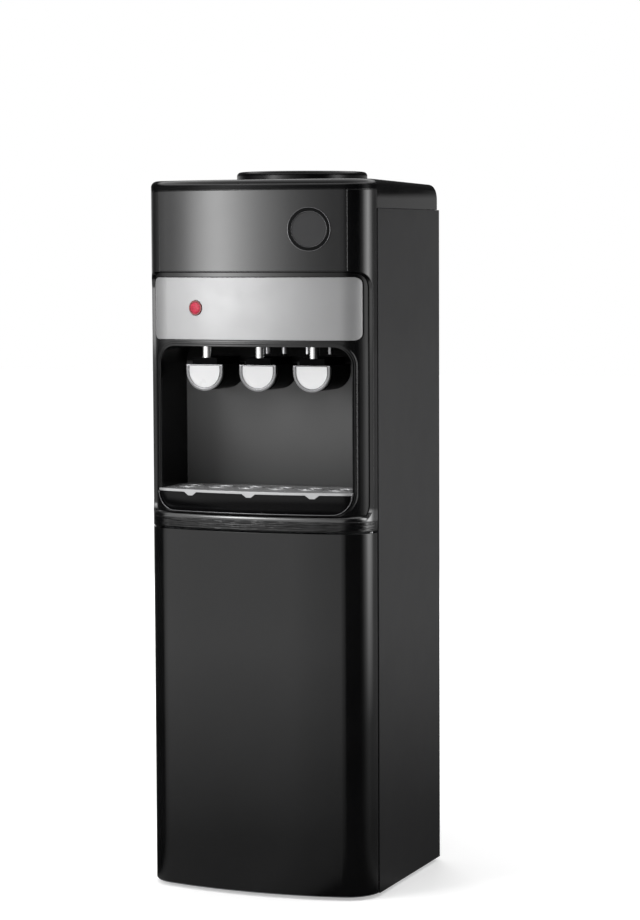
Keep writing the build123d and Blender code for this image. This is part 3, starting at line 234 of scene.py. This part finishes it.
def new_object(name, data):
    """An object in the scene for a mesh, a lamp or a camera."""
    thing = bpy.data.objects.new(name, data)
    bpy.context.scene.collection.objects.link(thing)
    return thing


def new_material(name):
    """A material with its node tree and its main shader."""
    material = bpy.data.materials.new(name)
    material.use_nodes = True
    tree = material.node_tree
    return material, tree, tree.nodes["Principled BSDF"]


def add_node(tree, kind, **values):
    """A shader node; keys are socket names, or attributes where no socket has the name."""
    node = tree.nodes.new(kind)
    for key, value in values.items():
        if key in node.inputs:
            node.inputs[key].default_value = value
        else:
            setattr(node, key, value)
    return node


def put(tree, source, socket):
    """Gives a socket its source, which is another node's output or a constant."""
    if isinstance(source, bpy.types.NodeSocket):
        tree.links.new(source, socket)
    else:
        socket.default_value = source


def maths(tree, operation, *sources):
    """A number worked out from outputs and constants."""
    node = add_node(tree, "ShaderNodeMath", operation=operation)
    for source, socket in zip(sources, node.inputs):
        put(tree, source, socket)
    return node.outputs["Value"]


def vector_maths(tree, operation, *sources):
    """A vector, or a length, worked out from outputs and constants."""
    node = add_node(tree, "ShaderNodeVectorMath", operation=operation)
    for source, socket in zip(sources, node.inputs):
        put(tree, source, socket)
    return node.outputs["Value" if operation == "LENGTH" else "Vector"]


def mix(tree, factor, first, second, kind="FLOAT"):
    """A blend of two numbers or two colours."""
    node = add_node(tree, "ShaderNodeMix", data_type=kind)
    first_input, second_input, output = MIX_SOCKETS[kind]
    for source, index in ((factor, 0), (first, first_input), (second, second_input)):
        put(tree, source, node.inputs[index])
    return node.outputs[output]


def place_of(tree, kind="Object"):
    """Where the shaded point is, in the frame's own metres unless another kind is named."""
    return add_node(tree, "ShaderNodeTexCoord").outputs[kind]


def axes_of(tree, vector):
    """The three parts of a vector."""
    split = add_node(tree, "ShaderNodeSeparateXYZ")
    tree.links.new(vector, split.inputs[0])
    return split.outputs["X"], split.outputs["Y"], split.outputs["Z"]


def noise(tree, scale, detail=2.0, roughness=0.5, stretch=None):
    """Noise over the frame's own metres."""
    source = place_of(tree)
    if stretch:
        mapping = add_node(tree, "ShaderNodeMapping", Scale=stretch)
        tree.links.new(source, mapping.inputs["Vector"])
        source = mapping.outputs["Vector"]
    node = add_node(tree, "ShaderNodeTexNoise", Scale=scale, Detail=detail, Roughness=roughness)
    tree.links.new(source, node.inputs["Vector"])
    return node.outputs["Fac"]


def ramp(tree, source, low, high, at=(0.35, 0.65)):
    """Turns a value that passes between the two at into one that passes from low to high."""
    node = add_node(tree, "ShaderNodeMapRange")
    for name, value in zip(("From Min", "From Max", "To Min", "To Max"), (*at, low, high)):
        node.inputs[name].default_value = value
    tree.links.new(source, node.inputs["Value"])
    return node.outputs["Result"]


def leaning_normal(tree, normal, heights, slopes):
    """A face's own draft: its normal tips up or down between two heights."""
    _, _, height = axes_of(tree, place_of(tree))
    tip = add_node(tree, "ShaderNodeCombineXYZ")
    tree.links.new(ramp(tree, height, *slopes, heights), tip.inputs["Z"])
    return vector_maths(tree, "NORMALIZE",
                        vector_maths(tree, "ADD", normal, tip.outputs["Vector"]))


def surface(name, colour, roughness, metallic=0.0, specular=0.5, mottle=0.04, mottle_scale=9.0,
            grain=900.0, grain_height=0.00001, rough_spread=0.03, stretch=None, coat=0.0,
            edge=0.0, lean=None):
    """A moulded, painted or metal finish with uneven tone, gloss and grain. Its edges look
    rounded by the radius edge, and lean holds two heights and the slopes there."""
    material, tree, shader = new_material(name)
    shader.inputs["Metallic"].default_value = metallic
    shader.inputs["Specular IOR Level"].default_value = specular
    shader.inputs["Coat Weight"].default_value = coat
    dark = [c * (1 - mottle) for c in colour]
    light = [min(1.0, c * (1 + mottle) + MOTTLE_LIFT) for c in colour]
    patches = ramp(tree, noise(tree, mottle_scale, detail=4.0), 0.0, 1.0)
    tone = mix(tree, patches, (*dark, 1), (*light, 1), "RGBA")
    tree.links.new(tone, shader.inputs["Base Color"])
    gloss = ramp(tree, noise(tree, scale=26.0, detail=5.0, roughness=0.6),
                 roughness - rough_spread, roughness + rough_spread)
    tree.links.new(gloss, shader.inputs["Roughness"])
    bump = add_node(tree, "ShaderNodeBump", Strength=1.0, Distance=grain_height)
    fine = noise(tree, grain, detail=3.0, roughness=0.55, stretch=stretch)
    tree.links.new(fine, bump.inputs["Height"])
    if edge:
        normal = add_node(tree, "ShaderNodeBevel", Radius=edge, samples=6).outputs["Normal"]
        if lean:
            normal = leaning_normal(tree, normal, *lean)
        tree.links.new(normal, bump.inputs["Normal"])
    tree.links.new(bump.outputs["Normal"], shader.inputs["Normal"])
    return material


def niche_black():
    """Gloss black moulding whose rear wall has a fine matt texture. Its face is glossier than
    the walls of its opening."""
    material = surface("niche_black", colour=(0.0030, 0.0030, 0.0033), roughness=0.16,
                       specular=0.44, grain=260.0, grain_height=0.000012, edge=0.0020)
    tree = material.node_tree
    shader = tree.nodes["Principled BSDF"]
    place = place_of(tree)
    _, depth, height = axes_of(tree, place)
    rear = ramp(tree, depth, 0.0, 1.0, NICHE_WALL_DEPTHS)
    # The rear wall's tone: painted light, lighter towards its top, and painted shade above the
    # paddles
    tone = maths(tree, "MULTIPLY", ramp(tree, height, *NICHE_WALL_TONES_AND_PAINTED_LIGHT, NICHE_WALL_PAINTED_LIGHT_HEIGHTS),
                 ramp(tree, height, 1.0, NICHE_SHADE, NICHE_SHADE_HEIGHTS))
    for name, kind, wall in (("Base Color", "RGBA", tone),
                             ("Roughness", "FLOAT", NICHE_WALL_ROUGHNESS)):
        socket = shader.inputs[name]
        moulding = socket.links[0].from_socket
        tree.links.new(mix(tree, rear, moulding, wall, kind), socket)
    from_centre = vector_maths(tree, "ADD", place, (0, -BOW_CENTRE_Y, 0))
    level = vector_maths(tree, "MULTIPLY", from_centre, (1, 1, 0))
    far = vector_maths(tree, "LENGTH", level)
    tree.links.new(ramp(tree, far, *NICHE_SPECULAR, NICHE_FACE_RADII),
                   shader.inputs["Specular IOR Level"])
    return material


def fascia_black():
    """Gloss black moulding. The sill has short fine ribs, and the rolled ledge over it is
    glossier than the rest."""
    material = surface("fascia_black", **FINISHES["black_gloss"])
    tree = material.node_tree
    shader = tree.nodes["Principled BSDF"]
    _, _, height = axes_of(tree, place_of(tree))
    low, high = SILL_HEIGHTS
    sill = maths(tree, "MULTIPLY", ramp(tree, height, 0.0, 1.0, (low - SILL_BLEND, low)),
                 ramp(tree, height, 1.0, 0.0, (high, high + SILL_BLEND)))
    streaks = noise(tree, SILL_RIB_SCALE, detail=1.0, roughness=0.4, stretch=SILL_RIB_STRETCH)
    bump = add_node(tree, "ShaderNodeBump", Strength=1.0, Distance=SILL_RIB_HEIGHT)
    tree.links.new(maths(tree, "MULTIPLY", streaks, sill), bump.inputs["Height"])
    tree.links.new(shader.inputs["Normal"].links[0].from_socket, bump.inputs["Normal"])
    tree.links.new(bump.outputs["Normal"], shader.inputs["Normal"])
    ledge = maths(tree, "MULTIPLY", ramp(tree, height, 0.0, 1.0, (high, high + LEDGE_BLEND)),
                  ramp(tree, height, 1.0, 0.0, LEDGE_END))
    whole = (0.0, 1.0)
    tree.links.new(ramp(tree, ledge, *LEDGE_SPECULAR, whole), shader.inputs["Specular IOR Level"])
    tree.links.new(ramp(tree, ledge, 0.0, LEDGE_COAT, whole), shader.inputs["Coat Weight"])
    shader.inputs["Coat Roughness"].default_value = LEDGE_COAT_ROUGHNESS
    return material


def red_lens():
    """Clear red cap over the lamp."""
    material, tree, shader = new_material("red_lens")
    patches = ramp(tree, noise(tree, scale=320.0, detail=3.0), 0.0, 1.0)
    tone = mix(tree, patches, (0.34, 0.010, 0.030, 1), (0.60, 0.030, 0.075, 1), "RGBA")
    tree.links.new(tone, shader.inputs["Base Color"])
    shader.inputs["Roughness"].default_value = 0.30
    shader.inputs["Specular IOR Level"].default_value = 0.25
    return material


def dress_nodes():
    """Gives each CAD node its slot's finish, or its own variant of it."""
    slot_of = {entry["node"]: entry["material_slot"] for entry in frame["record"]["subparts"]}
    for name, node in nodes.items():
        node.data.materials.clear()
        node.data.materials.append(materials[VARIANTS.get(name, slot_of[name])])


def place_piece(name, mesh, finish, body):
    """Adds a piece to the object with the named finish; it moves with the named body."""
    piece = new_object(name, mesh)
    mesh.materials.append(materials[finish])
    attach(piece, body)


def bowed(x, z, inset):
    """A point on the bow of the front, set in from it."""
    return Vector((x, BOW_CENTRE_Y - sqrt((BOW_RADIUS - inset) ** 2 - x * x), z))


def arc(centre, across, up, radius, start, end, steps):
    """Points round part of a circle in the plane of two directions."""
    turns = [start + (end - start) * index / steps for index in range(steps + 1)]
    return [centre + radius * (cos(turn) * across + sin(turn) * up) for turn in turns]


def bead(name, points, out, radius, closed, body):
    """A thin round bead along points, in bright metal as a painted highlight; out is the way its
    plane faces.
    """
    count = len(points)
    spots = []
    for index, point in enumerate(points):
        before = points[index - 1] if closed or index else point
        after = points[(index + 1) % count] if closed or index < count - 1 else point
        along = (after - before).normalized()
        side = along.cross(out).normalized()
        spots += arc(point, side, side.cross(along), radius, 0, 2 * pi, BEAD_SIDES)[:-1]
    faces = []
    for ring in range(count if closed else count - 1):
        near = ring * BEAD_SIDES
        far = (ring + 1) % count * BEAD_SIDES
        for index in range(BEAD_SIDES):
            after = (index + 1) % BEAD_SIDES
            faces.append((near + index, near + after, far + after, far + index))
    if not closed:
        last = (count - 1) * BEAD_SIDES
        faces.append(tuple(reversed(range(BEAD_SIDES))))
        faces.append(tuple(range(last, last + BEAD_SIDES)))
    mesh = bpy.data.meshes.new(name)
    mesh.from_pydata(spots, [], faces)
    mesh.shade_smooth()
    place_piece(name, mesh, "painted_highlight_bead", body)


def add_medallion_beads():
    """Outer and inner edges of the medallion's ring, square to the bow there, as thin beads whose
    bright metal is a painted highlight.
    """
    lean = asin(MEDALLION_X / BOW_RADIUS)
    out = Vector((sin(lean), -cos(lean), 0))
    across = Vector((cos(lean), sin(lean), 0))
    up = Vector((0, 0, 1))
    centre = bowed(MEDALLION_X, MEDALLION_Z, 0) + MEDALLION_PROUD * out
    for name, radius, thickness in MEDALLION_BEADS:
        circle = arc(centre, across, up, radius, 0, 2 * pi, MEDALLION_STEPS)[:-1]
        bead(name, circle, out, thickness, True, "cabinet")


def add_paddle_lips():
    """The fine lip between each paddle's rim and its inlaid face, round below and straight above,
    as a thin bead whose bright metal is a painted highlight."""
    across, up = Vector((1, 0, 0)), Vector((0, 0, 1))
    for tap in ("hot", "normal", "cold"):
        low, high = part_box(f"paddle_face_{tap}")
        half = (high.x - low.x) / 2
        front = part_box(f"tap_paddle_{tap}")[0].y + PADDLE_LIP_SINK
        centre = Vector((low.x + half, front, low.z + half))
        foot = arc(centre, across, up, half + PADDLE_LIP_GAP, -pi, 0, PADDLE_LIP_STEPS)
        rise = (high.z + PADDLE_LIP_GAP - centre.z) * up
        line = [foot[0] + rise, *foot, foot[-1] + rise]
        bead(f"paddle_lip_{tap}", line, Vector((0, -1, 0)), PADDLE_LIP_RADIUS, False,
             f"tap_{tap}")


def add_tray_lip():
    """The rolled lip round the sides and foot of the tray's front, as a thin bead whose bright
    metal is a painted highlight.
    """
    low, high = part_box("drip_tray")
    half = high.x - TRAY_LIP_RADIUS
    foot = low.z + TRAY_LIP_RADIUS
    corner = TRAY_CORNER - TRAY_LIP_RADIUS
    turns = [pi / 2 * index / TRAY_CORNER_STEPS for index in range(TRAY_CORNER_STEPS + 1)]
    left = [(-half + corner * (1 - cos(turn)), foot + corner * (1 - sin(turn))) for turn in turns]
    middle = [(index * (half - corner) / TRAY_FOOT_STEPS, foot)
              for index in range(1 - TRAY_FOOT_STEPS, TRAY_FOOT_STEPS)]
    right = [(-x, z) for x, z in reversed(left)]
    line = [bowed(x, z, TRAY_LIP_INSET) for x, z in (*left, *middle, *right)]
    bead("tray_lip", line, Vector((0, -1, 0)), TRAY_LIP_RADIUS, False, "tray")


def cross_outline():
    """A cross of four square arms round the origin."""
    quarter = [(RECESS_REACH, -RECESS_ARM), (RECESS_REACH, RECESS_ARM), (RECESS_ARM, RECESS_ARM)]
    outline = []
    for turn in range(4):
        c, s = round(cos(turn * pi / 2)), round(sin(turn * pi / 2))
        outline += [(c * x - s * z, s * x + c * z) for x, z in quarter]
    return outline


def add_screw_recesses():
    """Cross recesses in the heads of the rear panel's screws, as one mesh of shallow crosses whose
    black is painted shade.
    """
    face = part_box("screws")[1].y
    cross = cross_outline()
    count = len(cross)
    spots, faces = [], []
    for x, z in REAR_SCREWS:
        start = len(spots)
        for size, y in ((1.0, face - RECESS_DEPTH), (RECESS_TAPER, face + RECESS_PROUD)):
            spots += [(x + size * dx, y, z + size * dz) for dx, dz in cross]
        faces.append(tuple(start + index for index in range(count)))
        faces.append(tuple(start + count + index for index in reversed(range(count))))
        for index in range(count):
            after = (index + 1) % count
            faces.append((start + index, start + count + index, start + count + after,
                          start + after))
    mesh = bpy.data.meshes.new("screw_recesses")
    mesh.from_pydata(spots, [], faces)
    place_piece("screw_recesses", mesh, "recess_painted_shade", "cabinet")


def make_camera():
    """The photograph's own viewpoint and lens."""
    data = bpy.data.cameras.new("photo_camera")
    camera = new_object("photo_camera", data)
    forward = Vector((-sin(CAMERA_YAW) * cos(CAMERA_PITCH), cos(CAMERA_YAW) * cos(CAMERA_PITCH),
                      -sin(CAMERA_PITCH)))
    right = Vector((cos(CAMERA_YAW), sin(CAMERA_YAW), 0))
    up = right.cross(forward)
    rolled = cos(CAMERA_ROLL) * right + sin(CAMERA_ROLL) * up
    upright = cos(CAMERA_ROLL) * up - sin(CAMERA_ROLL) * right
    turn = Matrix((rolled, upright, -forward)).transposed()
    camera.matrix_world = Matrix.Translation(CAMERA_PLACE) @ turn.to_4x4()
    data.sensor_width = SENSOR
    data.lens = FOCAL_PIXELS / FRAME_HEIGHT * SENSOR
    data.clip_end = CLIP_END
    bpy.context.scene.camera = camera


def area_light(name, azimuth, elevation, distance, width, height, power):
    """A soft box aimed at the middle of the object; azimuth 0 is in front, 90 is on +X."""
    data = bpy.data.lights.new(name, "AREA")
    data.shape = "RECTANGLE"
    data.size = width
    data.size_y = height
    data.energy = power
    light = new_object(name, data)
    turn, rise = radians(azimuth), radians(elevation)
    away = Vector((sin(turn) * cos(rise), -cos(turn) * cos(rise), sin(rise)))
    light.location = Vector((0, 0, AIM_HEIGHT)) + away * distance
    light.rotation_euler = away.to_track_quat("Z", "Y").to_euler()
    light.visible_camera = False
    light.visible_glossy = False


def seen_rays(tree):
    """Which rays show the background: the camera's, also through clear parts, and glossy ones."""
    path = add_node(tree, "ShaderNodeLightPath")
    seen = maths(tree, "MAXIMUM", path.outputs["Is Camera Ray"],
                 path.outputs["Is Transmission Ray"])
    return seen, path.outputs["Is Glossy Ray"]


def make_world():
    """White for the camera and a plain fill on the object. Reflections see it pale behind the
    object and dim towards the camera."""
    world = bpy.data.worlds.new("studio")
    bpy.context.scene.world = world
    world.use_nodes = True
    tree = world.node_tree
    seen, glossy = seen_rays(tree)
    _, depth, _ = axes_of(tree, place_of(tree, "Generated"))
    reflected = maths(tree, "MULTIPLY", glossy, ramp(tree, depth, WORLD_DIM, 1.0, WORLD_TURN))
    shown = maths(tree, "MAXIMUM", seen, reflected)
    either = maths(tree, "MAXIMUM", seen, glossy)
    back = tree.nodes["Background"]
    back.inputs["Color"].default_value = (1, 1, 1, 1)
    tree.links.new(mix(tree, either, WORLD_FILL, shown), back.inputs["Strength"])


def make_floor():
    """A pale floor that shows as white and keeps the object's shadow."""
    mesh = bpy.data.meshes.new("floor")
    half = FLOOR_SIZE / 2
    mesh.from_pydata([(-half, -half, 0), (half, -half, 0), (half, half, 0), (-half, half, 0)], [],
                     [(0, 1, 2, 3)])
    material, tree, shader = new_material("floor")
    tree.nodes.remove(shader)
    diffuse = add_node(tree, "ShaderNodeBsdfDiffuse")
    tone = ramp(tree, noise(tree, scale=1.3, detail=3.0), FLOOR_ALBEDO - FLOOR_MOTTLE,
                FLOOR_ALBEDO + FLOOR_MOTTLE)
    tree.links.new(tone, diffuse.inputs["Color"])
    shown = maths(tree, "MAXIMUM", *seen_rays(tree))
    far = vector_maths(tree, "LENGTH", place_of(tree))
    level = maths(tree, "MULTIPLY", shown, ramp(tree, far, *FLOOR_GLOW, FLOOR_GLOW_REACH))
    glow = add_node(tree, "ShaderNodeEmission")
    tree.links.new(level, glow.inputs["Strength"])
    both = add_node(tree, "ShaderNodeAddShader")
    tree.links.new(diffuse.outputs[0], both.inputs[0])
    tree.links.new(glow.outputs[0], both.inputs[1])
    tree.links.new(both.outputs[0], tree.nodes["Material Output"].inputs["Surface"])
    mesh.materials.append(material)
    floor = new_object("floor", mesh)


def azimuth_tones(tree, share, tones):
    """A strength that depends on the azimuth, given as a share of the full turn."""
    lookup = add_node(tree, "ShaderNodeValToRGB")
    peak = max(tone for _, tone in tones)
    elements = lookup.color_ramp.elements
    while len(elements) < len(tones):
        elements.new(0.5)
    for element, (azimuth, tone) in zip(elements, tones):
        element.position = (azimuth + 180) / 360
        element.color = (tone / peak,) * 3 + (1,)
    tree.links.new(share, lookup.inputs["Fac"])
    return maths(tree, "MULTIPLY", lookup.outputs["Color"], peak)


def tent_mesh():
    """A round wall with a disc across its foot."""
    points = []
    for index in range(TENT_SIDES + 1):
        angle = 2 * pi * index / TENT_SIDES - pi
        points += [(TENT_RADIUS * sin(angle), -TENT_RADIUS * cos(angle), z)
                   for z in (TENT_BASE, TENT_HEIGHT)]
    faces = [(2 * i, 2 * i + 2, 2 * i + 3, 2 * i + 1) for i in range(TENT_SIDES)]
    faces.append(tuple(range(0, 2 * TENT_SIDES, 2)))
    mesh = bpy.data.meshes.new("tent")
    mesh.from_pydata(points, [], faces)
    return mesh


def tent_strength(tree):
    """Bright on the left, black at the right front corner, with a tall narrow light beyond."""
    x, y, height = axes_of(tree, place_of(tree))
    turn = maths(tree, "ARCTAN2", x, maths(tree, "MULTIPLY", y, -1.0))
    share = ramp(tree, turn, 0.0, 1.0, (-pi, pi))
    low = maths(tree, "MULTIPLY", azimuth_tones(tree, share, LOW_TONES),
                ramp(tree, height, TENT_FOOT, 1.0, TENT_RISE))
    striped = maths(tree, "MULTIPLY_ADD", azimuth_tones(tree, share, STRIPE_TONES),
                    ramp(tree, height, 0.0, 1.0, STRIPE_RISE), low)
    wall = mix(tree, ramp(tree, height, 0.0, 1.0, TENT_LEVELS), striped,
               azimuth_tones(tree, share, HIGH_TONES))
    faded = maths(tree, "MULTIPLY", wall, ramp(tree, height, 1.0, TENT_CROWN, TENT_FADE))
    return maths(tree, "ADD", faded, ramp(tree, height, 0.0, TENT_LID_GLOW, TENT_LID))


def make_tent():
    """What the gloss reflects: a curved screen that only reflections see."""
    mesh = tent_mesh()
    tent = new_object("tent", mesh)
    material, tree, shader = new_material("tent")
    tree.nodes.remove(shader)
    glow = add_node(tree, "ShaderNodeEmission")
    tree.links.new(tent_strength(tree), glow.inputs["Strength"])
    tree.links.new(glow.outputs[0], tree.nodes["Material Output"].inputs["Surface"])
    mesh.materials.append(material)
    for rays in ("camera", "diffuse", "transmission", "shadow", "volume_scatter"):
        setattr(tent, f"visible_{rays}", False)


materials = {name: surface(name, **finish) for name, finish in FINISHES.items()}
materials["red_lens"] = red_lens()
materials["niche_black"] = niche_black()
materials["fascia_black"] = fascia_black()

dress_nodes()
add_medallion_beads()
add_paddle_lips()
add_tray_lip()
add_screw_recesses()
make_camera()
make_world()
make_floor()
make_tent()
area_light("key", azimuth=-42, elevation=24, distance=3.4, width=1.6, height=2.2, power=60)
area_light("side", azimuth=105, elevation=12, distance=3.0, width=0.5, height=2.2, power=9)
area_light("top", azimuth=10, elevation=78, distance=2.8, width=2.4, height=2.4, power=40)
area_light("back", azimuth=205, elevation=24, distance=3.4, width=1.6, height=2.2, power=45)
bpy.context.scene.view_settings.view_transform = "Standard"
